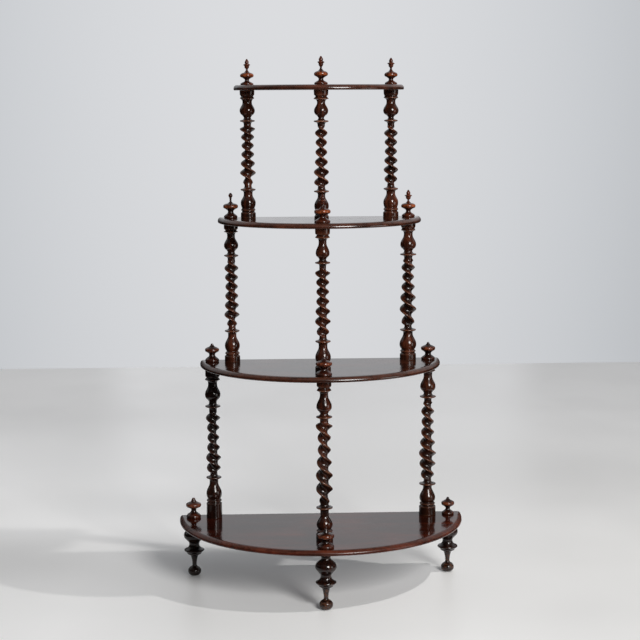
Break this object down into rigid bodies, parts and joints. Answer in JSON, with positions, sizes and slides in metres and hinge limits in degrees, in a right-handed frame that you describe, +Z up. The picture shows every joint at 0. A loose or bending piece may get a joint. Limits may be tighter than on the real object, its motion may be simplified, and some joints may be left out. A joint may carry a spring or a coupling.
{
  "type": "etagere",
  "caption": "Tiered what-not of dark polished wood: half-round moulded shelves on turned, twist-carved columns, with turned finials and feet.",
  "frame": {"origin": "on the floor, in the middle of the footprint's box", "axes": "+X to the right as seen from the front, +Y towards the straight back edges, +Z up"},
  "size_m": [0.7, 0.345, 1.2689],
  "materials": {
    "shelf_wood": "dark reddish-brown polished wood, high gloss",
    "turned_wood": "dark reddish-brown polished wood, high gloss, nearly black in the hollows",
    "finial_wood": "polished wood of a warmer red-brown, high gloss"
  },
  "bodies": {
    "root": {"bottom_shelf": "shelf_wood", "lower_shelf": "shelf_wood", "upper_shelf": "shelf_wood", "top_shelf": "shelf_wood", "foot_left": "turned_wood", "foot_right": "turned_wood", "foot_front": "turned_wood", "lower_column_left": "turned_wood", "lower_column_right": "turned_wood", "lower_column_front": "turned_wood", "middle_column_left": "turned_wood", "middle_column_right": "turned_wood", "middle_column_front": "turned_wood", "upper_column_left": "turned_wood", "upper_column_right": "turned_wood", "upper_column_front": "turned_wood", "bottom_finial_left": "finial_wood", "bottom_finial_right": "finial_wood", "bottom_finial_front": "finial_wood", "lower_finial_left": "finial_wood", "lower_finial_right": "finial_wood", "lower_finial_front": "finial_wood", "upper_finial_left": "finial_wood", "upper_finial_right": "finial_wood", "upper_finial_front": "finial_wood", "top_finial_left": "finial_wood", "top_finial_right": "finial_wood", "top_finial_front": "finial_wood"}
  },
  "joints": []
}
